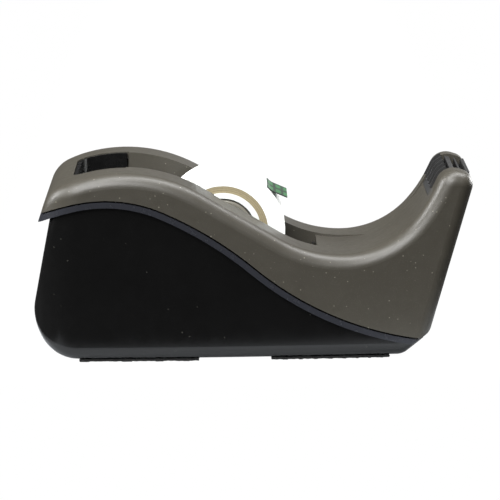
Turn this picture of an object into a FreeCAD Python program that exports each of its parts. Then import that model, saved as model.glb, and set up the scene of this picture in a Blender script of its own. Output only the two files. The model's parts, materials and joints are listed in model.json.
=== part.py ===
import FreeCAD
import Part
import math
import os

V = FreeCAD.Vector

# Driving dimensions in millimetres.  +X points at the cutting end, Y runs across, Z is up.
# The undersides of the foam pads stand on Z = 0.
FAR = 150.0                     # reach of a cutting body that is larger than the part
RUN_ON = 8.0                    # by which a cutting path runs on past the edge that it cuts
SKY = 75.0                      # above the whole part
NEAR = 0.5                      # an edge this close to a line lies along it
MOSTLY = 0.9                    # share of an edge's direction that makes it run along an axis
UPRIGHT_LIMIT = 5.0             # degrees off straight up within which an edge counts as upright
WALL = 2.2                      # moulded wall of the cover and the base
SEAM_GAP = 0.55                 # shadow gap between cover and base
LIP_DEPTH = 2.2                 # flush trim band under the gap
EDGE_ROUND = 4.5                # outer rounding of the cover's top edges
FRONT_ROUND = 4.8               # upright corners of the cutter tower
UPRIGHT_ZONE = (60.0, 20.0, 50.0)   # those corners lie beyond this x, between these heights
FRONT_ZONE = (54.0, 50.0)       # beyond this x and below this z the front's edges stay sharp
PAD_THICKNESS = 1.0
PAD_INSET = 4.5                 # from the side of the base
REAR_PAD = (-58.5, -18.0)       # rear x, front x
FRONT_PAD = (6.0, 46.5)

# Side profile of the cover: foot and lean of the rear face, then tangent arcs and lines.
REAR_FOOT = (-72.7, 45.0)
REAR_HEADING = 72.0
REAR_LENGTH = 9.1
SHOULDER_RADIUS = 10.5
CREST_RADIUS = 51.6
SLOPE_HEADING = -30.5
SLOPE_LENGTH = 30.6
VALLEY_REAR_RADIUS = 41.25
VALLEY_FRONT_ARCS = [("left", 31.6, 32.0), ("left", 31.8, 50.0)]
TOWER_FOOT_RADIUS = 48.0
TOWER_HEADING = 64.5
TOWER_SLOPE_LENGTH = 3.4
TOWER_TOP_RADIUS = 5.9
TOWER_TOP_HEADING = -15.0
TOWER_TOP_LENGTH = 6.1
FRONT_HEADING = -105.85
FRONT_LEAN = math.tan(math.radians(-90.0 - FRONT_HEADING))
NOSE_TOP_Z = 11.2
NOSE_RADIUS = 5.0
NOSE_HEADING = -150.0

# Parting line between cover and base, seen from the side.
SEAM_START = (-71.0, 50.1)
SEAM_HEADING = 27.4
SEAM_ARCS = [("right", 47.3, -23.7), ("right", 126.4, -40.2), ("left", 111.6, -8.9)]

# Side profile of the base.
BASE_REAR_TOP_X = -67.6
BASE_REAR_HEADING = -101.0
BASE_REAR_LENGTH = 31.4
BASE_REAR_RADIUS = 15.4
BASE_BOTTOM_LENGTH = 107.1
BASE_NOSE_RADIUS = 6.0
BASE_NOSE_HEADING = 38.0
BASE_SIDE_INSET = 1.5
BASE_REAR_SHIFT = 1.1           # the rear of the base reaches this much further back than its sides are inset
BASE_EDGE_ROUND = 4.5
TONGUE_WALL = 1.2               # tongue inside the lip that keeps the cover in line
TONGUE_HEIGHT = 1.8

# Plan outline: a gently convex side, turned in at the rear by a tight arc.
SIDE_REAR = (-58.0, 34.0)
SIDE_MIDDLE = (-10.0, 32.1)
SIDE_FRONT = (80.0, 23.55)
REAR_TURN_RADIUS = 15.0
REAR_TURN_ANGLE = 62.0

# Tape well between the two rails.
AXLE_X = -10.0
AXLE_Z = 41.3
WELL_RADIUS = 31.8
WELL_REAR = -59.0
WELL_FRONT = 22.0
WELL_HALF_AT_CENTRE = 14.25
WELL_TAPER = 0.0575             # loss of half-width per millimetre towards the cutter
WELL_CORNER = 3.0
TRAY_WALL = 2.0
TRAY_RIM = 1.2                  # rim of the tray that shows round the rear pocket
SKIRT_REAR = -43.0
SKIRT_BOTTOM = 31.0
POCKET_FLOOR = 38.0
SCOOP_FLOOR = 35.9              # height of the scoop's floor at the well
SCOOP_HEADING = -12.0           # the floor falls at first, then curves up and fades out
SCOOP_ARC = ("left", 30.0, 36.0)
SCOOP_ROUND_X = 28.0            # centre of its round end
SCOOP_RUN_IN = 6.0              # straight stretch of its floor that runs in over the well
SCOOP_OVERLAP = 3.0
CHANNEL_DEPTH = 0.5             # shallow channel up the tower, which fades in where the rails steepen
CHANNEL_HEADING = 46.0
CHANNEL_HALF = 15.0

# Cutter holder and blade at the top of the tower.
HOLDER_START = (59.1, 53.8)     # foot of the ribbed ramp, on the line of the rail tops
HOLDER_HALF = 14.6
HOLDER_PLATE_TOP = 56.5
WEB_COUNT = 5                   # upright webs between the bars
WEB_TOP = 60.2                  # in front of the crossbar
WEB_REAR_TOP = 61.7             # behind the crossbar
WEB_CHAMFER = (1.1, 1.7)        # along and down, at the rear end of each web
RAMP_LENGTH = 7.4
RAMP_END_HEADING = 22.0
RIB_TOP = 0.9                   # height of the ramp's ribs over the line of the rail tops
RIB_HEIGHT = 1.2
RIB_WIDTH = 0.9
RIB_COUNT = 5
RIB_START = 3.2                 # smooth foot of the ramp, before its ribs begin
RAMP_UNDERSIDE = -1.7
SEAT_FLOOR = 55.0
SEAT_REAR_X = 63.8
FRONT_WALL_TOP = 59.8
SEAT_FRONT_X = 73.0             # inner face of the front wall, at the height of its top
SEAT_UNDER_SHARE = 0.8          # share of a lining's thickness under the ramp
SEAT_FRONT_SHARE = 0.5          # share of a lining's thickness at the thin front wall
SEAT_ROOM = 12.0                # open room above the ramp
CROSSBAR = (66.6, 68.2, 63.3)   # rear x, front x, top z at the rear
CROSSBAR_FALL = 0.3             # its top falls this much towards the front
MIDDLE_BAR = (69.7, 70.3, 62.6) # rear x, front x, top z
FRONT_BAR = (72.1, 62.3)        # rear x, top z
FRONT_BAR_SPREAD = 1.0          # its foot reaches this much further back
BLADE_THICKNESS = 0.45
BLADE_HALF = 14.4
BLADE_FOOT = 55.4
BLADE_HEIGHT = 6.3
TOOTH_PITCH = 1.6
TOOTH_HEIGHT = 1.0

# Tape, hub and axle.
TAPE_WIDTH = 19.0
TAPE_RADIUS = 21.1
CORE_OUTER = 15.3
CORE_INNER = 13.0
HUB_RIM_INNER = 11.1
HUB_HALF = 9.9
CAP_RADIUS = 10.6
CAP_THICKNESS = 2.0
CAP_EDGE_ROUND = 0.8
COLLAR_RADIUS = 5.0
COLLAR_END = 13.0
WEB_HALF = 1.5
AXLE_RADIUS = 3.0
FIT_GAP = 0.02                  # between pieces pressed or wound onto each other
RUNNING_GAP = 0.05
PART_GAP = 0.3                  # between pieces that only stand beside each other
SLOT_DEPTH = 2.0
SLOT_BLOCK_HALF = 7.0           # thicker stretch of rail on each side of a slot
SLOT_ROOM = 10.0                # cut this far into the tray's sides to clear that stretch
TAB_ANGLE = 45.0                # clockwise from straight up, where the tab begins on the roll
TAB_THICKNESS = 0.3
TAB_LIFT_ANGLE = 47.0           # down from level, where it leaves the roll
TAB_REST_ANGLE = 23.0           # down from level, where it runs straight
TAB_BEND_RADIUS = 5.0
TAB_END = 5.0

SCREW_POSTS = [(-62.0, 26.0, 33.0, 42.0), (40.0, 17.5, 5.0, 10.8)]   # x, y, head seat, post top
POST_RADIUS = 4.0
SCREW_RADIUS = 1.5
HEAD_RADIUS = 2.8
HEAD_HEIGHT = 2.0
THREAD_DEPTH = 8.0
THREAD_SPARE = 1.0              # left free at the end of each screw

BALLAST_GAP = 0.8               # room all round the cast block
BALLAST_DROP = 8.0              # from the parting line down to the block's top
BALLAST_REAR = (-66.5, 20.0)    # the block stays in front of this x above this z


def sin(angle):
    return math.sin(math.radians(angle))


def cos(angle):
    return math.cos(math.radians(angle))


def point(x, z, y=0.0):
    return V(x, y, z)


def tangent_path(start, heading, steps, offset=0.0):
    """Edges of a path of lines and tangent arcs in the X-Z plane, moved to its left by offset.

    A step is ("line", length) or ("left" or "right", radius, heading at its end).
    """
    x = start[0] - offset * sin(heading)
    z = start[1] + offset * cos(heading)
    edges = []
    for step in steps:
        if step[0] == "line":
            following = (x + step[1] * cos(heading), z + step[1] * sin(heading))
            edges.append(Part.makeLine(point(x, z), point(*following)))
        else:
            side = 1 if step[0] == "left" else -1
            radius = step[1] - side * offset
            centre = (x - side * radius * sin(heading), z + side * radius * cos(heading))
            stops = [heading, (heading + step[2]) / 2, step[2]]
            marks = [(centre[0] + side * radius * sin(a), centre[1] - side * radius * cos(a)) for a in stops]
            edges.append(Part.Arc(*[point(*mark) for mark in marks]).toShape())
            following = marks[-1]
            heading = step[2]
        x, z = following
    return edges, (x, z)


def closed_face(edges, corners):
    """Face bounded by a path of edges and by straight lines through the corners back to its start."""
    first = edges[0].valueAt(edges[0].FirstParameter)
    last = edges[-1].valueAt(edges[-1].LastParameter)
    stops = [last] + [point(*corner) for corner in corners] + [first]
    return Part.Face(Part.Wire(edges + [Part.makeLine(a, b) for a, b in zip(stops, stops[1:])]))


def across(face, half=FAR):
    """Solid made by running an X-Z face across the part, to half either side of the middle."""
    moved = face.copy()
    moved.translate(V(0, -half, 0))
    return moved.extrude(V(0, 2 * half, 0))


def box(x0, x1, y0, y1, z0, z1):
    return Part.makeBox(x1 - x0, y1 - y0, z1 - z0, V(x0, y0, z0))


def slab(corners, half):
    """Solid across the part from a polygon of (x, z) corners."""
    wire = Part.makePolygon([point(*corner) for corner in corners + corners[:1]])
    return across(Part.Face(wire), half)


def cylinder_across(radius, half, x=AXLE_X, z=AXLE_Z):
    return Part.makeCylinder(radius, 2 * half, V(x, -half, z), V(0, 1, 0))


def ring_across(outer, inner, half):
    return cylinder_across(outer, half).cut(cylinder_across(inner, half + RUN_ON))


def middle_of(edge):
    return edge.valueAt((edge.FirstParameter + edge.LastParameter) / 2)


def direction_of(edge):
    return edge.tangentAt((edge.FirstParameter + edge.LastParameter) / 2)


def is_upright(edge):
    """True for an edge that stands straight up, within a few degrees."""
    return abs(direction_of(edge).z) > cos(UPRIGHT_LIMIT)


def joined(first, others):
    """One solid from several touching ones, without leftover seams."""
    return first.fuse(others).removeSplitter()


def strip(start, heading, steps, low, high):
    """Face between two offsets of one tangent path."""
    lower = tangent_path(start, heading, steps, low)[0]
    upper = tangent_path(start, heading, steps, high)[0]
    ends = [[edges[0].Vertexes[0].Point, edges[-1].Vertexes[-1].Point] for edges in (lower, upper)]
    caps = [Part.makeLine(ends[0][i], ends[1][i]) for i in (0, 1)]
    return Part.Face(Part.Wire(Part.__sortEdges__(lower + upper + caps)))


def valley_steps():
    """The cover's top surface from the foot of the rear face to the foot of the tower."""
    return [("line", REAR_LENGTH), ("right", SHOULDER_RADIUS, 23.5), ("right", CREST_RADIUS, SLOPE_HEADING),
            ("line", SLOPE_LENGTH), ("left", VALLEY_REAR_RADIUS, 0.0), *VALLEY_FRONT_ARCS]


def tower_steps(inset=0.0):
    return [("left", TOWER_FOOT_RADIUS, TOWER_HEADING), ("line", TOWER_SLOPE_LENGTH),
            ("right", TOWER_TOP_RADIUS, TOWER_TOP_HEADING), ("line", TOWER_TOP_LENGTH - inset)]


def front_x(z):
    """The cover's leaning front face at height z."""
    corner_x, corner_z = tangent_path(REAR_FOOT, REAR_HEADING, valley_steps() + tower_steps())[1]
    return corner_x + (z - corner_z) * FRONT_LEAN


def under_top(inset=0.0):
    """Everything below the cover's top surface and behind its front face."""
    top_edges, corner = tangent_path(REAR_FOOT, REAR_HEADING, valley_steps() + tower_steps(inset), -inset)
    front_edges, foot = tangent_path(corner, FRONT_HEADING, [("line", SKY)])
    return across(closed_face(top_edges + front_edges, [(REAR_FOOT[0] + inset, foot[1])]))


def seam_path(offset):
    """The parting line moved up by offset, run on past both ends."""
    start = (SEAM_START[0] - RUN_ON * cos(SEAM_HEADING), SEAM_START[1] - RUN_ON * sin(SEAM_HEADING))
    return tangent_path(start, SEAM_HEADING, [("line", RUN_ON)] + SEAM_ARCS + [("line", RUN_ON)], offset)


def above_seam(offset):
    edges, end = seam_path(offset)
    start_z = edges[0].Vertexes[0].Z
    return across(closed_face(edges, [(FAR, end[1]), (FAR, FAR), (-FAR, FAR), (-FAR, start_z)]))


def plan_outline(inset=0.0):
    """Upright prism with the part's outline seen from above."""
    side = Part.Arc(*[V(x, -(y - inset), 0) for x, y in (SIDE_REAR, SIDE_MIDDLE, SIDE_FRONT)]).toShape()
    outward = V(SIDE_REAR[0], -(SIDE_REAR[1] - inset), 0) - side.Curve.Center
    outward.normalize()
    turn_radius = REAR_TURN_RADIUS - inset
    turn_centre = side.Curve.Center + outward * (side.Curve.Radius - turn_radius)
    start = math.degrees(math.atan2(outward.y, outward.x))
    rim = [turn_centre + V(cos(a), sin(a), 0) * turn_radius
           for a in (start, start - REAR_TURN_ANGLE / 2, start - REAR_TURN_ANGLE)]
    turn = Part.Arc(*rim).toShape()
    leave = V(sin(start - REAR_TURN_ANGLE), -cos(start - REAR_TURN_ANGLE), 0)
    nose = rim[2] + leave * (-rim[2].y / leave.y)
    half = [side, turn, Part.makeLine(rim[2], nose)]
    other = [edge.mirror(V(0, 0, 0), V(0, 1, 0)) for edge in half]
    front_y = SIDE_FRONT[1] - inset
    front = Part.makeLine(V(SIDE_FRONT[0], -front_y, 0), V(SIDE_FRONT[0], front_y, 0))
    outline = Part.Face(Part.Wire(Part.__sortEdges__(half + other + [front])))
    outline.translate(V(0, 0, -FAR))
    return outline.extrude(V(0, 0, 2 * FAR))


def under_nose(inset=0.0):
    """Room below the rounded foot of the cover's front face."""
    start = (front_x(NOSE_TOP_Z) - inset, NOSE_TOP_Z)
    steps = [("right", NOSE_RADIUS - inset, NOSE_HEADING), ("line", 2 * RUN_ON)]
    path, end = tangent_path(start, FRONT_HEADING, steps)
    return across(closed_face(path, [(end[0], -FAR), (FAR, -FAR), (FAR, NOSE_TOP_Z)]))


def skin_body():
    """Outside of the cover and of the flush band below it as one solid, with its rounded edges."""
    body = under_top().common(plan_outline()).common(above_seam(-LIP_DEPTH)).Solids[0]
    zone_x, zone_low, zone_high = UPRIGHT_ZONE
    upright = [e for e in body.Edges if middle_of(e).x > zone_x and zone_low < middle_of(e).z < zone_high
               and abs(direction_of(e).z) > MOSTLY]
    body = body.makeFillet(FRONT_ROUND, upright).Solids[0]
    parting = Part.Wire(seam_path(-LIP_DEPTH)[0])
    rounded = []
    for edge in body.Edges:
        middle = middle_of(edge)
        tangent = direction_of(edge)
        on_parting = Part.Vertex(point(middle.x, middle.z)).distToShape(parting)[0] < NEAR
        on_front = middle.x > FRONT_ZONE[0] and middle.z < FRONT_ZONE[1]
        if not (on_parting or on_front or abs(tangent.y) > MOSTLY or is_upright(edge)):
            rounded.append(edge)
    return body.makeFillet(EDGE_ROUND, rounded).cut(under_nose()).Solids[0]


def well_half(x):
    return WELL_HALF_AT_CENTRE - (x - AXLE_X) * WELL_TAPER


def well_prism(x0, x1, margin, z0, z1, corner=0.0):
    """Upright tapered prism between the rails, wider than the well by margin on each side."""
    outline = [V(x0, -well_half(x0) - margin, z0), V(x1, -well_half(x1) - margin, z0),
               V(x1, well_half(x1) + margin, z0), V(x0, well_half(x0) + margin, z0)]
    prism = Part.Face(Part.makePolygon(outline + outline[:1])).extrude(V(0, 0, z1 - z0))
    if corner:
        rear = [e for e in prism.Edges if abs(direction_of(e).z) > MOSTLY and middle_of(e).x < x0 + NEAR]
        prism = prism.makeFillet(corner, rear)
    return prism


def well_profile(margin):
    """Side profile of the well's space: rear pocket, round part and open top, grown by margin."""
    reach = WELL_RADIUS + margin
    pocket = POCKET_FLOOR - margin
    drop = AXLE_Z - pocket
    meet = AXLE_X - math.sqrt(reach ** 2 - drop ** 2)
    marks = [(meet, pocket), (AXLE_X, AXLE_Z - reach), (AXLE_X + reach, AXLE_Z)]
    arc = Part.Arc(*[point(*mark) for mark in marks]).toShape()
    rear = WELL_REAR - margin
    return closed_face([arc], [(AXLE_X + reach, SKY), (rear, SKY), (rear, pocket)])


def scoop_room(margin):
    """Hollow in the cover in front of the well, with a round end towards the cutter."""
    middle = SCOOP_ROUND_X
    half = well_half(middle) + margin
    plan = well_prism(WELL_FRONT - SCOOP_OVERLAP, middle, margin, 0, SKY)
    plan = plan.fuse(Part.makeCylinder(half, SKY, V(middle, 0, 0)))
    return across(scoop_profile(margin)).common(plan)


def scoop_profile(margin):
    """Side profile of the scoop, which fades out towards the cutter."""
    start = (WELL_FRONT - SCOOP_RUN_IN * cos(SCOOP_HEADING), SCOOP_FLOOR - SCOOP_RUN_IN * sin(SCOOP_HEADING))
    steps = [("line", SCOOP_RUN_IN), SCOOP_ARC, ("line", RUN_ON)]
    path, end = tangent_path(start, SCOOP_HEADING, steps, -margin)
    return closed_face(path, [(end[0], SKY), (start[0], SKY)])


def channel_profile(margin):
    """Shallow channel that rises between the rails to the cutter, at one depth once it has faded in."""
    start = tangent_path(REAR_FOOT, REAR_HEADING, valley_steps())[1]
    rail_rise = TOWER_FOOT_RADIUS * (1 - cos(TOWER_HEADING - VALLEY_FRONT_ARCS[-1][2]))
    radius = (rail_rise + CHANNEL_DEPTH) / (1 - cos(TOWER_HEADING - CHANNEL_HEADING))
    steps = [("left", radius, TOWER_HEADING), ("line", 2 * RUN_ON)]
    path, end = tangent_path(start, CHANNEL_HEADING, steps, -margin)
    return closed_face(path, [(start[0] - WALL, SKY), (start[0] - WALL, start[1] + WALL)])


def ramp_face(low, high, start=0.0):
    """Side profile of the ramp between two offsets, from start onwards."""
    foot = (HOLDER_START[0] + start * cos(TOWER_HEADING), HOLDER_START[1] + start * sin(TOWER_HEADING))
    steps = [("line", RAMP_LENGTH - start), ("right", TOWER_TOP_RADIUS, RAMP_END_HEADING)]
    return strip(foot, TOWER_HEADING, steps, low, high)


def seat_front(z):
    """The leaning inner face of the front wall at height z."""
    return SEAT_FRONT_X + (z - FRONT_WALL_TOP) * FRONT_LEAN


def cutter_seat(margin):
    """Pocket in the top of the tower that takes the cutter holder."""
    half = CHANNEL_HALF + margin
    ramp = ramp_face(RAMP_UNDERSIDE - SEAT_UNDER_SHARE * margin, SEAT_ROOM)
    floor = SEAT_FLOOR - margin
    front = SEAT_FRONT_SHARE * margin
    well = slab([(SEAT_REAR_X - margin, floor), (seat_front(floor) + front, floor),
                 (seat_front(SKY) + front, SKY), (SEAT_REAR_X - margin, SKY)], half)
    return [across(ramp, half), well]


def cutter_opening():
    """Room above the front wall, where the blade shows between the tower's two walls."""
    return box(MIDDLE_BAR[0], FAR, -CHANNEL_HALF, CHANNEL_HALF, FRONT_WALL_TOP, SKY)


def top_cover():
    hollow = under_top(WALL).common(plan_outline(WALL))
    slot_rear = AXLE_X - SLOT_BLOCK_HALF
    slot_front = AXLE_X + SLOT_BLOCK_HALF
    linings = [well_prism(SKIRT_REAR, WELL_FRONT + WALL, WALL, SKIRT_BOTTOM, SKY),
               well_prism(slot_rear, slot_front, WALL + SLOT_DEPTH, SKIRT_BOTTOM, SKY),
               scoop_room(WALL),
               across(channel_profile(WALL), CHANNEL_HALF + WALL),
               *cutter_seat(WALL)]
    spaces = [well_prism(WELL_REAR, WELL_FRONT, 0.0, -FAR, SKY, WELL_CORNER),
              rim_prism(TRAY_RIM + PART_GAP),
              scoop_room(0.0),
              across(channel_profile(0.0), CHANNEL_HALF),
              *cutter_seat(0.0),
              cutter_opening()]
    slot_half = AXLE_RADIUS + RUNNING_GAP
    slot_reach = WELL_HALF_AT_CENTRE + SLOT_DEPTH
    spaces.append(box(AXLE_X - slot_half, AXLE_X + slot_half, -slot_reach, slot_reach,
                      AXLE_Z - AXLE_RADIUS, SKY))
    for side in (-1, 1):
        for x, y, seat, post_top in SCREW_POSTS:
            linings.append(Part.makeCylinder(POST_RADIUS, SKY, V(x, side * y, post_top)))
            spaces.append(Part.makeCylinder(SCREW_RADIUS, THREAD_DEPTH, V(x, side * y, post_top)))
    cover = skin_body().common(above_seam(SEAM_GAP / 2))
    return cover.cut(hollow.cut(linings)).cut(spaces).Solids[0]


def base_outline(inset=0.0):
    """Everything inside the base's side profile, which stands on the pads and is open upwards."""
    top_z = (PAD_THICKNESS + BASE_REAR_RADIUS * (1 - cos(BASE_REAR_HEADING))
             - BASE_REAR_LENGTH * sin(BASE_REAR_HEADING))
    steps = [("line", BASE_REAR_LENGTH), ("left", BASE_REAR_RADIUS, 0.0), ("line", BASE_BOTTOM_LENGTH),
             ("left", BASE_NOSE_RADIUS, BASE_NOSE_HEADING), ("line", 2 * RUN_ON)]
    path, end = tangent_path((BASE_REAR_TOP_X, top_z), BASE_REAR_HEADING, steps, inset)
    start = path[0].Vertexes[0]
    top = (start.X + SKY * math.tan(math.radians(-BASE_REAR_HEADING - 90)), start.Z + SKY)
    return across(closed_face(path, [(end[0], top[1]), top]))


def base_plan(inset=0.0):
    """The part's outline seen from above, drawn in to the sides of the base."""
    plan = plan_outline(BASE_SIDE_INSET + inset)
    plan.translate(V(-BASE_REAR_SHIFT, 0, 0))
    return plan


def base_body():
    """Outside of the tub with rounded rear corners and bottom edges."""
    body = base_outline().common(base_plan()).cut(above_seam(-SEAM_GAP / 2)).Solids[0]
    parting = Part.Wire(seam_path(-SEAM_GAP / 2)[0])
    rounded = []
    for edge in body.Edges:
        middle = middle_of(edge)
        on_parting = Part.Vertex(point(middle.x, middle.z)).distToShape(parting)[0] < NEAR
        if not (on_parting or abs(direction_of(edge).y) > MOSTLY or is_upright(edge)):
            rounded.append(edge)
    return body.makeFillet(BASE_EDGE_ROUND, rounded).Solids[0]


def lip_band(lower, upper, inset):
    """Band along the parting line between two offsets, inside the cover's outline."""
    band = above_seam(lower).cut(above_seam(upper)).cut(under_nose(inset))
    return band.common(under_top(inset)).common(plan_outline(inset))


def base_hollow():
    return base_outline(WALL).common(base_plan(WALL))


def tongue():
    """Upright ring on the base that stands just inside the cover's wall and clears the cover's posts."""
    gap = WALL + PART_GAP
    ring = lip_band(-LIP_DEPTH, TONGUE_HEIGHT, gap).cut(plan_outline(gap + TONGUE_WALL))
    return ring.cut([Part.makeCylinder(POST_RADIUS + PART_GAP, SKY, V(x, side * y, 0))
                     for side in (-1, 1) for x, y, seat, post_top in SCREW_POSTS])


def base_shell():
    posts = []
    holes = []
    for side in (-1, 1):
        for x, y, seat, post_top in SCREW_POSTS:
            foot = V(x, side * y, 0)
            posts.append(Part.makeCylinder(POST_RADIUS, post_top, foot))
            holes.append(Part.makeCylinder(HEAD_RADIUS + PART_GAP, seat, foot))
            holes.append(Part.makeCylinder(SCREW_RADIUS + RUNNING_GAP, post_top, foot))
    hollow = base_hollow().cut(posts)
    return base_body().cut(hollow).fuse(tongue()).cut(holes)


def trim_band():
    """Band pressed round the top of the base, flush with the cover above it."""
    band = skin_body().cut(above_seam(-SEAM_GAP / 2)).cut([base_body(), base_hollow(), tongue()])
    return max(band.Solids, key=lambda solid: solid.Volume)


def rim_prism(margin):
    """Upright prism round the rear pocket, wider than it by margin."""
    return well_prism(WELL_REAR - margin, SKIRT_REAR - TRAY_RIM + margin, margin, POCKET_FLOOR, SKY,
                      WELL_CORNER + margin)


def tray_space(margin):
    """The tray's outside, grown by margin."""
    outer = TRAY_WALL + margin
    rear = WELL_REAR - outer
    front = AXLE_X + WELL_RADIUS + outer
    return across(well_profile(outer)).common(well_prism(rear, front, WALL + PART_GAP + outer, -FAR, SKY))


def well_tray():
    outside = tray_space(0.0).common(under_top(WALL + PART_GAP))
    outside = outside.fuse(rim_prism(TRAY_RIM).common(under_top(PART_GAP)))
    skirt_room = well_prism(SKIRT_REAR - PART_GAP, WELL_FRONT + WALL + PART_GAP, WALL + PART_GAP,
                            SKIRT_BOTTOM - PART_GAP, SKY)
    skirt_room = skirt_room.cut(well_prism(SKIRT_REAR - NEAR, WELL_FRONT - PART_GAP, 0.0, 0, SKY))
    slot_reach = SLOT_BLOCK_HALF + PART_GAP
    slot_room = well_prism(AXLE_X - slot_reach, AXLE_X + slot_reach, SLOT_ROOM, SKIRT_BOTTOM - PART_GAP, SKY)
    well = well_prism(WELL_REAR, AXLE_X + WELL_RADIUS + TRAY_WALL, 0.0, -FAR, SKY, WELL_CORNER)
    inside = across(well_profile(0.0)).common(well)
    scoop_gap = across(scoop_profile(WALL + PART_GAP), well_half(WELL_FRONT) + WALL + PART_GAP)
    return outside.cut([inside, skirt_room, slot_room, scoop_gap])


def ballast_block():
    gap = WALL + BALLAST_GAP
    block = base_outline(gap).common(base_plan(gap)).cut(above_seam(-BALLAST_DROP))
    rear_x, rear_z = BALLAST_REAR
    block = block.cut(box(-FAR, rear_x, -FAR, FAR, rear_z, SKY)).cut(tray_space(BALLAST_GAP))
    for side in (-1, 1):
        for x, y, seat, post_top in SCREW_POSTS:
            block = block.cut(Part.makeCylinder(POST_RADIUS + BALLAST_GAP, SKY, V(x, side * y, 0)))
    return max(block.Solids, key=lambda solid: solid.Volume)


def foam_pad(ends):
    x0, x1 = ends
    return box(x0, x1, -FAR, FAR, 0, PAD_THICKNESS).common(base_plan(PAD_INSET - BASE_SIDE_INSET))


def cover_screws():
    screws = []
    for side in (-1, 1):
        for x, y, seat, post_top in SCREW_POSTS:
            length = post_top + THREAD_DEPTH - THREAD_SPARE - seat
            shank = Part.makeCylinder(SCREW_RADIUS, length, V(x, side * y, seat))
            head = Part.makeCylinder(HEAD_RADIUS, HEAD_HEIGHT, V(x, side * y, seat - HEAD_HEIGHT))
            screws.append(head.fuse(shank))
    return Part.makeCompound(screws)


def spaced_across(piece, count):
    """Copies of a thin piece, spread evenly over the width of the cutter holder."""
    span = 2 * HOLDER_HALF - RIB_WIDTH
    copies = []
    for i in range(count):
        moved = piece.copy()
        moved.translate(V(0, -span / 2 + i * span / (count - 1), 0))
        copies.append(moved)
    return copies


def cutter_holder():
    """Ramp with ribs along it, and behind its top a seat crossed by bars and webs."""
    bed = across(ramp_face(RAMP_UNDERSIDE, RIB_TOP - RIB_HEIGHT), HOLDER_HALF)
    pieces = spaced_across(across(ramp_face(RAMP_UNDERSIDE, RIB_TOP, RIB_START), RIB_WIDTH / 2), RIB_COUNT)
    bar_rear, bar_front, bar_top = CROSSBAR
    middle_rear, middle_front, middle_top = MIDDLE_BAR
    front_rear, front_top = FRONT_BAR
    rear = SEAT_REAR_X + PART_GAP
    back = BLADE_THICKNESS + 2 * FIT_GAP
    plate_front = seat_front(HOLDER_PLATE_TOP) - back
    foot_front = seat_front(SEAT_FLOOR) - back
    pieces.append(slab([(bar_rear, SEAT_FLOOR), (bar_front, SEAT_FLOOR), (bar_front, bar_top - CROSSBAR_FALL),
                        (bar_rear, bar_top)], HOLDER_HALF))
    pieces.append(slab([(middle_rear, SEAT_FLOOR), (middle_front, SEAT_FLOOR), (middle_front, middle_top),
                        (middle_rear, middle_top)], HOLDER_HALF))
    pieces.append(slab([(front_rear - FRONT_BAR_SPREAD, SEAT_FLOOR), (foot_front, SEAT_FLOOR),
                        (seat_front(front_top) - back, front_top), (front_rear, front_top)], HOLDER_HALF))
    pieces.append(slab([(rear, SEAT_FLOOR), (foot_front, SEAT_FLOOR), (plate_front, HOLDER_PLATE_TOP),
                        (rear, HOLDER_PLATE_TOP)], HOLDER_HALF))
    along, down = WEB_CHAMFER
    web = slab([(rear, SEAT_FLOOR), (front_rear - FRONT_BAR_SPREAD, SEAT_FLOOR), (front_rear, WEB_TOP),
                (bar_front, WEB_TOP), (bar_rear, WEB_REAR_TOP), (rear + along, WEB_REAR_TOP),
                (rear, WEB_REAR_TOP - down)], RIB_WIDTH / 2)
    return joined(bed, pieces + spaced_across(web, WEB_COUNT))


def cutter_blade():
    """Thin strip with a row of teeth, leaning with the front wall."""
    count = int(2 * BLADE_HALF / TOOTH_PITCH)
    edge = [V(0, -BLADE_HALF + i * TOOTH_PITCH / 2, BLADE_HEIGHT - (TOOTH_HEIGHT if i % 2 == 0 else 0))
            for i in range(2 * count + 1)]
    outline = [V(0, BLADE_HALF, 0), V(0, -BLADE_HALF, 0)] + edge
    blade = Part.Face(Part.makePolygon(outline + outline[:1])).extrude(V(BLADE_THICKNESS, 0, 0))
    lean = -90.0 - FRONT_HEADING
    blade.rotate(V(0, 0, 0), V(0, 1, 0), lean)
    blade.translate(V(seat_front(BLADE_FOOT) - BLADE_THICKNESS / cos(lean) - FIT_GAP, 0, BLADE_FOOT))
    return blade


def axle_rod():
    """Round rod with square ends that drop into the slots."""
    end = WELL_HALF_AT_CENTRE + SLOT_DEPTH - PART_GAP
    rod = cylinder_across(AXLE_RADIUS, end)
    square = box(AXLE_X - AXLE_RADIUS, AXLE_X + AXLE_RADIUS, -end, end,
                 AXLE_Z - AXLE_RADIUS, AXLE_Z + AXLE_RADIUS)
    shoulder = COLLAR_END + PART_GAP
    square = square.cut(box(-FAR, FAR, -shoulder, shoulder, 0, SKY))
    return joined(rod, square.Solids)


def hub_wheel():
    bore = AXLE_RADIUS + RUNNING_GAP
    rim = ring_across(CORE_INNER - FIT_GAP, HUB_RIM_INNER, HUB_HALF)
    web = ring_across((HUB_RIM_INNER + CORE_INNER) / 2, bore, WEB_HALF)
    tube = ring_across(COLLAR_RADIUS, bore, HUB_HALF - CAP_THICKNESS)
    return joined(rim, [web, tube])


def hub_cap(side):
    """Disc that closes one end of the hub, with a collar that keeps the roll centred."""
    disc = Part.makeCylinder(CAP_RADIUS, CAP_THICKNESS, V(AXLE_X, side * (HUB_HALF - CAP_THICKNESS), AXLE_Z),
                             V(0, side, 0))
    outer_face = [e for e in disc.Edges if abs(abs(e.BoundBox.Center.y) - HUB_HALF) < FIT_GAP]
    disc = disc.makeFillet(CAP_EDGE_ROUND, outer_face)
    collar = Part.makeCylinder(COLLAR_RADIUS, COLLAR_END - HUB_HALF + CAP_THICKNESS,
                               V(AXLE_X, side * (HUB_HALF - CAP_THICKNESS), AXLE_Z), V(0, side, 0))
    bore = cylinder_across(AXLE_RADIUS + RUNNING_GAP, FAR)
    return joined(disc, [collar]).cut(bore)


def tape_core():
    return ring_across(CORE_OUTER, CORE_INNER, TAPE_WIDTH / 2)


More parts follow.
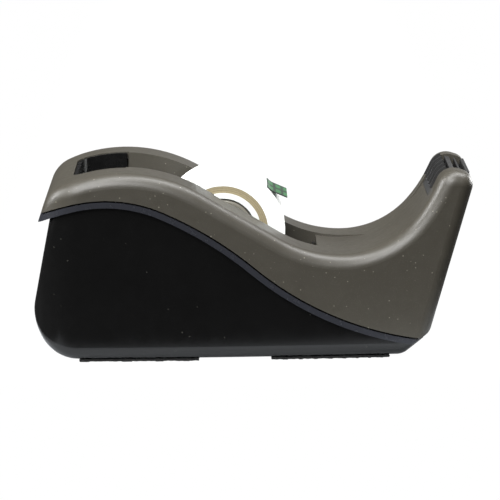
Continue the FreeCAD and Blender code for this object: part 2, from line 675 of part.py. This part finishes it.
def tape_roll():
    return ring_across(TAPE_RADIUS, CORE_OUTER + FIT_GAP, TAPE_WIDTH / 2)


def tape_tab():
    """Folded starter tab that lies on the roll and then stands off it."""
    start = (AXLE_X + TAPE_RADIUS * sin(TAB_ANGLE), AXLE_Z + TAPE_RADIUS * cos(TAB_ANGLE))
    steps = [("right", TAPE_RADIUS, -TAB_LIFT_ANGLE), ("left", TAB_BEND_RADIUS, -TAB_REST_ANGLE),
             ("line", TAB_END)]
    return across(strip(start, -TAB_ANGLE, steps, FIT_GAP, TAB_THICKNESS), TAPE_WIDTH / 2)


NODES = {
    "top_cover": top_cover,
    "base_shell": base_shell,
    "trim_band": trim_band,
    "well_tray": well_tray,
    "ballast_block": ballast_block,
    "cover_screws": cover_screws,
    "rear_pad": lambda: foam_pad(REAR_PAD),
    "front_pad": lambda: foam_pad(FRONT_PAD),
    "cutter_holder": cutter_holder,
    "cutter_blade": cutter_blade,
    "axle_rod": axle_rod,
    "hub_wheel": hub_wheel,
    "hub_cap_left": lambda: hub_cap(-1),
    "hub_cap_right": lambda: hub_cap(1),
    "tape_core": tape_core,
    "tape_roll": tape_roll,
    "tape_tab": tape_tab,
}

os.makedirs("parts", exist_ok=True)
for name, build in NODES.items():
    build().exportStep("parts/" + name + ".step")
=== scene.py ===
import json
import math
import random

import bpy
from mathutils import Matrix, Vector, noise


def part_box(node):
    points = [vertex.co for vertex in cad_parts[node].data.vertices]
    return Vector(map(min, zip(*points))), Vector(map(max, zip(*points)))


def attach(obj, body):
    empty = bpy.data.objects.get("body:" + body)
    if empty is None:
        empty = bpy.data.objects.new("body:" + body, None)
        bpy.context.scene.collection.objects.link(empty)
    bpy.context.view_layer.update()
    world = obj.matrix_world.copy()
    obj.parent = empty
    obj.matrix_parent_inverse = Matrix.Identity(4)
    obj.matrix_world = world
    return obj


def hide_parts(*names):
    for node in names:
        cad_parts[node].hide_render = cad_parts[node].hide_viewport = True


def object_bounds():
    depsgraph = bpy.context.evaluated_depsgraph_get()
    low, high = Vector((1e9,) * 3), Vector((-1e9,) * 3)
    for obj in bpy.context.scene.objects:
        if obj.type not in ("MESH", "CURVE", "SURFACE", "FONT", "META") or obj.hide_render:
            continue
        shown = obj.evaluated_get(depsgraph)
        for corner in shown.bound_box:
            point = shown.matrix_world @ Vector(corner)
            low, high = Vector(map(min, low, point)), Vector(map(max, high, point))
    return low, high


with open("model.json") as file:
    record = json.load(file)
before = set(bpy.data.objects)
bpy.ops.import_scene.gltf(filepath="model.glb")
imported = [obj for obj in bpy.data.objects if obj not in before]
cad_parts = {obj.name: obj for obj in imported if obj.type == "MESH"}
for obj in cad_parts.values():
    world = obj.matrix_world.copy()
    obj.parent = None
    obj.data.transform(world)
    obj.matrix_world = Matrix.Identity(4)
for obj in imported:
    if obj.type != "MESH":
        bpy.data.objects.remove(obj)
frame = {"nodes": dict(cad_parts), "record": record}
cad_box = [list(corner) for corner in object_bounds()]
nodes = frame["nodes"]

MM = 0.001
AXIS = (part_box("tape_roll")[0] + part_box("tape_roll")[1]) / 2    # centre of the tape roll
ROLL_RADIUS = (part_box("tape_roll")[1].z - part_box("tape_roll")[0].z) / 2
CORE_RADIUS = (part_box("tape_core")[1].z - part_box("tape_core")[0].z) / 2
TAPE_HALF = (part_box("tape_roll")[1].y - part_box("tape_roll")[0].y) / 2

NOISE_LOW = 0.3     # most values of a noise from 0 to 1 lie between these two
NOISE_HIGH = 0.7
SPECK_EDGE = 1.5    # where a speck has faded out, as a multiple of its size


# Node helpers

def add(tree, kind, inputs=None, **settings):
    """New shader node; inputs are values or sockets by name or place."""
    made = tree.nodes.new("ShaderNode" + kind)
    for key, value in settings.items():
        setattr(made, key, value)
    for key, value in (inputs or {}).items():
        if isinstance(value, bpy.types.NodeSocket):
            tree.links.new(value, made.inputs[key])
        else:
            made.inputs[key].default_value = value
    return made


def grey(value):
    return (value, value, value, 1.0)


def calc(tree, operation, a, b=0.0):
    return add(tree, "Math", {0: a, 1: b}, operation=operation).outputs[0]


def cloud(tree, place, scale, detail=3.0):
    """Noise from 0 to 1, with scale in patches per metre."""
    return add(tree, "TexNoise", {"Vector": place, "Scale": scale, "Detail": detail}).outputs["Fac"]


def spread(tree, value, low, high, to_low=0.0, to_high=1.0):
    """Value moved from one range to another, and kept inside it."""
    inputs = {"Value": value, "From Min": low, "From Max": high, "To Min": to_low, "To Max": to_high}
    return add(tree, "MapRange", inputs).outputs["Result"]


def uneven(tree, noise_value, low, high):
    """Noise stretched to run from low to high."""
    return spread(tree, noise_value, NOISE_LOW, NOISE_HIGH, low, high)


def blend_colour(tree, share, first, second):
    mix = add(tree, "Mix", {0: share, 6: first, 7: second}, data_type="RGBA")
    return mix.outputs[2]


def bump(tree, height, depth):
    """Normal bumped by a height from 0 to 1, which stands for depth metres."""
    inputs = {"Height": height, "Strength": 1.0, "Distance": depth}
    return add(tree, "Bump", inputs).outputs["Normal"]


def specks(tree, place, per_metre, size, share):
    """Mask of small round specks: share of the cells of a grid that is per_metre fine have one."""
    cells = add(tree, "TexVoronoi", {"Vector": place, "Scale": per_metre})
    dot = spread(tree, cells.outputs["Distance"], size, size * SPECK_EDGE, 1.0, 0.0)
    pick = add(tree, "SeparateColor", {"Color": cells.outputs["Color"]}).outputs["Red"]
    return calc(tree, "MULTIPLY", dot, calc(tree, "LESS_THAN", pick, share))


def new_material(name):
    material = bpy.data.materials.new(name)
    material.use_nodes = True
    tree = material.node_tree
    tree.nodes.clear()
    shader = add(tree, "BsdfPrincipled")
    output = add(tree, "OutputMaterial")
    tree.links.new(shader.outputs[0], output.inputs["Surface"])
    place = add(tree, "TexCoord").outputs["Object"]
    return material, tree, shader, place


def finish_shader(tree, shader, colour, roughness, normal, metallic=0.0):
    tree.links.new(colour, shader.inputs["Base Color"])
    tree.links.new(roughness, shader.inputs["Roughness"])
    tree.links.new(normal, shader.inputs["Normal"])
    shader.inputs["Metallic"].default_value = metallic


def radius_from_axis(tree, place):
    """Distance from the roll's axis, in metres."""
    moved = add(tree, "VectorMath", {0: place, 1: tuple(AXIS)}, operation="SUBTRACT").outputs[0]
    flat = add(tree, "VectorMath", {0: moved, 1: (1.0, 0.0, 1.0)}, operation="MULTIPLY").outputs[0]
    return add(tree, "VectorMath", {0: flat}, operation="LENGTH").outputs["Value"]


# Materials

def cover_plastic():
    """Satin brown-grey plastic with tiny pale flecks."""
    material, tree, shader, place = new_material("cover_plastic")
    dark = (0.032, 0.0285, 0.0215, 1)
    light = (0.04, 0.0365, 0.028, 1)
    tone = blend_colour(tree, cloud(tree, place, 160.0), dark, light)
    fine = specks(tree, place, 2800.0, 0.2, 0.4)
    large = specks(tree, place, 700.0, 0.1, 0.25)
    flecks = calc(tree, "MAXIMUM", calc(tree, "MULTIPLY", fine, 0.1), calc(tree, "MULTIPLY", large, 0.6))
    colour = blend_colour(tree, flecks, tone, (0.26, 0.25, 0.2, 1))
    roughness = uneven(tree, cloud(tree, place, 420.0), 0.4, 0.46)
    normal = bump(tree, cloud(tree, place, 2600.0, 2.0), 0.000012)
    finish_shader(tree, shader, colour, roughness, normal)
    return material


def base_plastic():
    """Near-black plastic with a few faint flecks.

    It is matt as far out as the tray's width and polished beyond. This takes in the tray, and
    also the middle of the base's front, back and underside.
    """
    material, tree, shader, place = new_material("base_plastic")
    tone = blend_colour(tree, cloud(tree, place, 90.0), grey(0.0018), grey(0.0032))
    colour = blend_colour(tree, specks(tree, place, 420.0, 0.07, 0.2), tone, (0.035, 0.035, 0.03, 1))
    gloss = uneven(tree, cloud(tree, place, 240.0), 0.12, 0.18)
    off_middle = calc(tree, "ABSOLUTE", add(tree, "SeparateXYZ", {0: place}).outputs["Y"])
    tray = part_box("well_tray")[1].y
    roughness = calc(tree, "ADD", gloss, spread(tree, off_middle, tray, tray + MM, 0.12, 0.0))
    normal = bump(tree, cloud(tree, place, 900.0, 2.0), 0.000004)
    finish_shader(tree, shader, colour, roughness, normal)
    return material


def plain_plastic(name, dark, light, low_roughness, high_roughness):
    """Moulded plastic with a little unevenness in colour, gloss and surface."""
    material, tree, shader, place = new_material(name)
    colour = blend_colour(tree, cloud(tree, place, 260.0), dark, light)
    roughness = uneven(tree, cloud(tree, place, 500.0), low_roughness, high_roughness)
    normal = bump(tree, cloud(tree, place, 1800.0, 2.0), 0.000008)
    finish_shader(tree, shader, colour, roughness, normal)
    return material


def brushed_steel(name, across):
    """Steel with fine grinding marks that run along one axis."""
    material, tree, shader, place = new_material(name)
    stretched = add(tree, "VectorMath", {0: place, 1: across}, operation="MULTIPLY").outputs[0]
    marks = cloud(tree, stretched, 1.0, 4.0)
    colour = blend_colour(tree, marks, grey(0.48), grey(0.62))
    roughness = uneven(tree, marks, 0.22, 0.4)
    finish_shader(tree, shader, colour, roughness, bump(tree, marks, 0.000006), metallic=1.0)
    return material


def cast_ballast():
    """Rough grey cast block."""
    material, tree, shader, place = new_material("ballast")
    colour = blend_colour(tree, cloud(tree, place, 700.0, 6.0), grey(0.11), grey(0.24))
    normal = bump(tree, cloud(tree, place, 900.0, 6.0), 0.0004)
    roughness = uneven(tree, cloud(tree, place, 300.0), 0.75, 0.95)
    finish_shader(tree, shader, colour, roughness, normal)
    return material


def foam():
    """Black open-cell foam."""
    material, tree, shader, place = new_material("foam")
    cells = add(tree, "TexVoronoi", {"Vector": place, "Scale": 2400.0}).outputs["Distance"]
    colour = blend_colour(tree, cells, grey(0.008), grey(0.03))
    roughness = spread(tree, cells, 0.0, 0.6, 0.85, 0.98)
    finish_shader(tree, shader, colour, roughness, bump(tree, cells, 0.0003))
    return material


def core_board():
    """Tan board wound in thin plies."""
    material, tree, shader, place = new_material("core_board")
    plies = calc(tree, "SINE", calc(tree, "MULTIPLY", radius_from_axis(tree, place), 9000.0))
    fibre = cloud(tree, place, 1500.0, 5.0)
    share = calc(tree, "ADD", calc(tree, "MULTIPLY", plies, 0.18), fibre)
    colour = blend_colour(tree, share, (0.19, 0.155, 0.085, 1), (0.29, 0.25, 0.155, 1))
    roughness = uneven(tree, fibre, 0.7, 0.9)
    finish_shader(tree, shader, colour, roughness, bump(tree, share, 0.00006))
    return material


def windings(tree, radius, per_metre):
    """Noise from 0 to 1 in rings about the roll's axis."""
    inputs = {"W": radius, "Scale": per_metre}
    return add(tree, "TexNoise", inputs, noise_dimensions="1D").outputs["Fac"]


def tape_film():
    """Pale frosted film wound in many layers, each edge a faint ring; it lets no light through."""
    material, tree, shader, place = new_material("tape_film")
    radius = radius_from_axis(tree, place)
    rings = windings(tree, radius, 5200.0)
    bands = windings(tree, radius, 900.0)
    share = calc(tree, "MULTIPLY", calc(tree, "ADD", rings, bands), 0.5)
    patches = calc(tree, "MULTIPLY", cloud(tree, place, 110.0), 0.35)
    share = calc(tree, "ADD", share, patches)
    colour = blend_colour(tree, share, (0.74, 0.76, 0.74, 1), (0.88, 0.90, 0.88, 1))
    roughness = uneven(tree, rings, 0.35, 0.5)
    finish_shader(tree, shader, colour, roughness, bump(tree, rings, 0.00004))
    return material


def tab_paper():
    """Paper printed with a plain green check of dark lines."""
    material, tree, shader, place = new_material("tab_paper")
    parts = add(tree, "SeparateXYZ", {0: place})
    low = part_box("tape_tab")[0]
    pitch_along = 2.6 * MM
    pitch_across = 9.5 * MM
    lines = []
    for axis, start, pitch in (("X", low.x, pitch_along), ("Y", low.y, pitch_across)):
        along = calc(tree, "SUBTRACT", parts.outputs[axis], start)
        turns = calc(tree, "COSINE", calc(tree, "MULTIPLY", along, 2 * math.pi / pitch))
        lines.append(spread(tree, turns, 0.1, 0.8))
    fibre = cloud(tree, place, 900.0)
    ink = blend_colour(tree, fibre, (0.012, 0.075, 0.022, 1), (0.02, 0.115, 0.035, 1))
    colour = blend_colour(tree, calc(tree, "MAXIMUM", *lines), ink, (0.003, 0.014, 0.006, 1))
    roughness = uneven(tree, fibre, 0.5, 0.65)
    finish_shader(tree, shader, colour, roughness, bump(tree, fibre, 0.00001))
    return material


def build_materials():
    return {
        "cover_plastic": cover_plastic(),
        "base_plastic": base_plastic(),
        # The trim band's bluish grey is several times lighter than the base plastic. This is painted light:
        # it makes the band under the seam look lit.
        "trim_plastic": plain_plastic("trim_plastic", (0.016, 0.017, 0.021, 1), (0.019, 0.02, 0.025, 1),
                                      0.25, 0.28),
        "ballast": cast_ballast(),
        "screw_steel": brushed_steel("screw_steel", (4000.0, 4000.0, 300.0)),
        "blade_steel": brushed_steel("blade_steel", (9000.0, 300.0, 9000.0)),
        "foam": foam(),
        "insert_plastic": plain_plastic("insert_plastic", grey(0.012), grey(0.018), 0.42, 0.5),
        "axle_plastic": plain_plastic("axle_plastic", grey(0.02), grey(0.03), 0.3, 0.45),
        "hub_plastic": plain_plastic("hub_plastic", (0.62, 0.64, 0.62, 1), (0.78, 0.8, 0.78, 1), 0.3, 0.42),
        "cap_plastic": plain_plastic("cap_plastic", (0.12, 0.115, 0.095, 1), (0.17, 0.16, 0.13, 1),
                                     0.3, 0.42),
        "core_board": core_board(),
        "tape_film": tape_film(),
        "tab_paper": tab_paper(),
    }


def paint(piece, material):
    piece.data.materials.clear()
    piece.data.materials.append(material)


# Pieces made here

def new_piece(name, vertices, faces, body, material):
    mesh = bpy.data.meshes.new(name)
    mesh.from_pydata(vertices, [], faces)
    mesh.validate()
    piece = bpy.data.objects.new(name, mesh)
    bpy.context.scene.collection.objects.link(piece)
    for face in mesh.polygons:
        face.use_smooth = True
    paint(piece, material)
    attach(piece, body)
    return piece


def wound_tape(material):
    """The roll of tape: its two faces show windings that lie a little in or out."""
    random.seed(4)
    winding = 0.22 * MM
    core_gap = 0.03 * MM
    deepest = 0.1
    inner = CORE_RADIUS + core_gap
    count = int((ROLL_RADIUS - inner) / winding)
    depths = [random.uniform(0.0, deepest) * MM for _ in range(count)]
    radii = [inner + (ROLL_RADIUS - inner) * i / (count - 1) for i in range(count)]
    near = [(radius, depth - TAPE_HALF) for radius, depth in zip(radii, depths)]
    far = [(radius, TAPE_HALF - depth) for radius, depth in zip(radii, depths)]
    profile = near + far[::-1]
    turns = 192
    vertices = []
    for i in range(turns):
        angle = 2 * math.pi * i / turns
        for radius, y in profile:
            vertices.append(AXIS + Vector((radius * math.cos(angle), y, radius * math.sin(angle))))
    size = len(profile)
    faces = []
    for i in range(turns):
        following = (i + 1) % turns
        for j in range(size):
            after = (j + 1) % size
            faces.append((i * size + j, i * size + after, following * size + after, following * size + j))
    piece = new_piece("wound_tape", vertices, faces, "roll", material)
    crease = math.radians(50)
    piece.data.set_sharp_from_angle(angle=crease)
    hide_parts("tape_roll")


def ragged_pad(name, node, material):
    """Roughly cut foam pad: its sides wander in and its underside is slightly uneven."""
    voxel = 0.42 * MM
    side_limit = 0.8    # a normal with less upright share than this belongs to a side
    side_wander = 0.35 * MM
    inward = 0.4
    under_wander = 0.12 * MM
    low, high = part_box(node)
    source = bpy.data.objects.new("pad_source", nodes[node].data.copy())
    bpy.context.scene.collection.objects.link(source)
    remesh = source.modifiers.new("remesh", "REMESH")
    remesh.mode = "VOXEL"
    remesh.voxel_size = voxel
    bpy.context.view_layer.update()
    mesh = bpy.data.meshes.new_from_object(source.evaluated_get(bpy.context.evaluated_depsgraph_get()))
    bpy.data.objects.remove(source)
    outward = [vertex.normal.copy() for vertex in mesh.vertices]
    for vertex, normal in zip(mesh.vertices, outward):
        place = vertex.co.copy()
        if abs(normal.z) < side_limit:
            coarse = noise.noise(place * 900.0) + 0.6 * noise.noise(place * 2300.0)
            place += Vector((normal.x, normal.y, 0.0)) * (side_wander * (coarse - inward))
        elif normal.z < 0:
            place.z += under_wander * (1.0 + noise.noise(place * 700.0))
        vertex.co = [min(max(place[i], low[i]), high[i]) for i in range(3)]
    piece = bpy.data.objects.new(name, mesh)
    bpy.context.scene.collection.objects.link(piece)
    paint(piece, material)
    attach(piece, "housing")
    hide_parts(node)


# Stage, lights and camera

def build_floor():
    """Floor that the camera sees as almost plain white.

    Reflections and bounced light see another floor with painted light: a painted pool of light close to the
    object and a painted bright strip behind it, and nearly black everywhere else.
    """
    half = 6.0
    mesh = bpy.data.meshes.new("floor")
    corners = [(-half, -half, 0.0), (half, -half, 0.0), (half, half, 0.0), (-half, half, 0.0)]
    mesh.from_pydata(corners, [], [(0, 1, 2, 3)])
    floor = bpy.data.objects.new("floor", mesh)
    bpy.context.scene.collection.objects.link(floor)
    material = bpy.data.materials.new("floor")
    material.use_nodes = True
    tree = material.node_tree
    tree.nodes.clear()
    parts = add(tree, "SeparateXYZ", {0: add(tree, "TexCoord").outputs["Object"]})
    side = calc(tree, "SUBTRACT", calc(tree, "ABSOLUTE", parts.outputs["X"]), cad_box[1][0])
    ahead = calc(tree, "SUBTRACT", cad_box[0][1], parts.outputs["Y"])
    outside = calc(tree, "MAXIMUM", side, ahead)
    # Painted pools of light on the floor, pale close to the object and in a strip behind it. They are seen
    # only in reflections and bounced light.
    close = spread(tree, outside, 0.006, 0.03, 1.0, 0.0)
    behind = spread(tree, parts.outputs["Y"], 0.05, 0.2)
    beside = spread(tree, side, -0.02, 0.03, 1.0, 0.0)
    painted_light_share = calc(tree, "MAXIMUM", close, calc(tree, "MULTIPLY", behind, beside))
    sheet = add(tree, "BsdfDiffuse", {"Color": blend_colour(tree, painted_light_share, grey(0.02), (0.43, 0.45, 0.47, 1))})
    glow = 1.03
    white_share = 0.97
    white = add(tree, "Emission", {"Color": grey(1.0), "Strength": glow})
    seen = calc(tree, "MULTIPLY", add(tree, "LightPath").outputs["Is Camera Ray"], white_share)
    mix = add(tree, "MixShader", {0: seen, 1: sheet.outputs[0], 2: white.outputs[0]})
    tree.links.new(mix.outputs[0], add(tree, "OutputMaterial").inputs["Surface"])
    mesh.materials.append(material)


def build_world():
    """Dim room with a brighter ceiling and a bright strip low behind the object's front half.

    The camera sees it plain white.
    """
    world = bpy.data.worlds.new("room")
    world.use_nodes = True
    tree = world.node_tree
    tree.nodes.clear()
    parts = add(tree, "SeparateXYZ", {0: add(tree, "TexCoord").outputs["Generated"]})
    ceiling = spread(tree, parts.outputs["Z"], 0.3, 0.95)
    room = blend_colour(tree, ceiling, grey(0.06), grey(0.4))
    low = spread(tree, parts.outputs["Z"], 0.10, 0.17, 1.0, 0.0)
    behind = spread(tree, parts.outputs["Y"], 0.6, 0.85)
    ahead = spread(tree, parts.outputs["X"], -0.1, 0.0)
    strip = calc(tree, "MULTIPLY", calc(tree, "MULTIPLY", low, behind), ahead)
    room = blend_colour(tree, strip, room, grey(1.0))
    seen = add(tree, "LightPath").outputs["Is Camera Ray"]
    background = add(tree, "Background", {"Color": blend_colour(tree, seen, room, grey(1.0))})
    tree.links.new(background.outputs[0], add(tree, "OutputWorld").inputs["Surface"])
    bpy.context.scene.world = world


def soft_light(name, place, target, width, depth, power):
    data = bpy.data.lights.new(name, "AREA")
    data.shape = "RECTANGLE"
    data.size = width
    data.size_y = depth
    data.energy = power
    lamp = bpy.data.objects.new(name, data)
    lamp.location = place
    aim = Vector(target) - Vector(place)
    lamp.rotation_euler = aim.to_track_quat("-Z", "Y").to_euler()
    bpy.context.scene.collection.objects.link(lamp)


def build_lights():
    middle = (0.0, 0.0, 0.04)
    soft_light("overhead", (0.1, -0.12, 1.2), middle, 2.4, 0.36, 40.0)
    soft_light("front", (-0.4, -1.4, 1.1), middle, 1.2, 0.8, 46.0)
    soft_light("left", (-1.2, -0.12, 0.55), middle, 0.3, 0.9, 24.0)
    soft_light("right_rear", (1.0, 0.9, 0.25), middle, 0.6, 0.4, 14.0)


def build_camera():
    """Nearly level view of the long side, from far off."""
    image_pixels = 500
    focal_pixels = 3120.0
    sensor = 36.0
    down = math.radians(10.6)
    aside = math.radians(0.37)
    distance = 1.04
    target = Vector((-0.001, -0.032, 0.0388))
    aim = Vector((math.sin(aside) * math.cos(down), math.cos(aside) * math.cos(down), -math.sin(down)))
    data = bpy.data.cameras.new("camera")
    data.sensor_width = sensor
    data.lens = sensor * focal_pixels / image_pixels
    camera = bpy.data.objects.new("camera", data)
    camera.location = target - aim * distance
    camera.rotation_euler = aim.to_track_quat("-Z", "Y").to_euler()
    bpy.context.scene.collection.objects.link(camera)
    bpy.context.scene.camera = camera


materials = build_materials()
slots = {row["node"]: row["material_slot"] for row in frame["record"]["subparts"]}
for name, piece in nodes.items():
    paint(piece, materials[slots[name]])

wound_tape(materials["tape_film"])
ragged_pad("rear_foam", "rear_pad", materials["foam"])
ragged_pad("front_foam", "front_pad", materials["foam"])

build_floor()
build_world()
build_lights()
build_camera()
bpy.context.scene.view_settings.view_transform = "Standard"
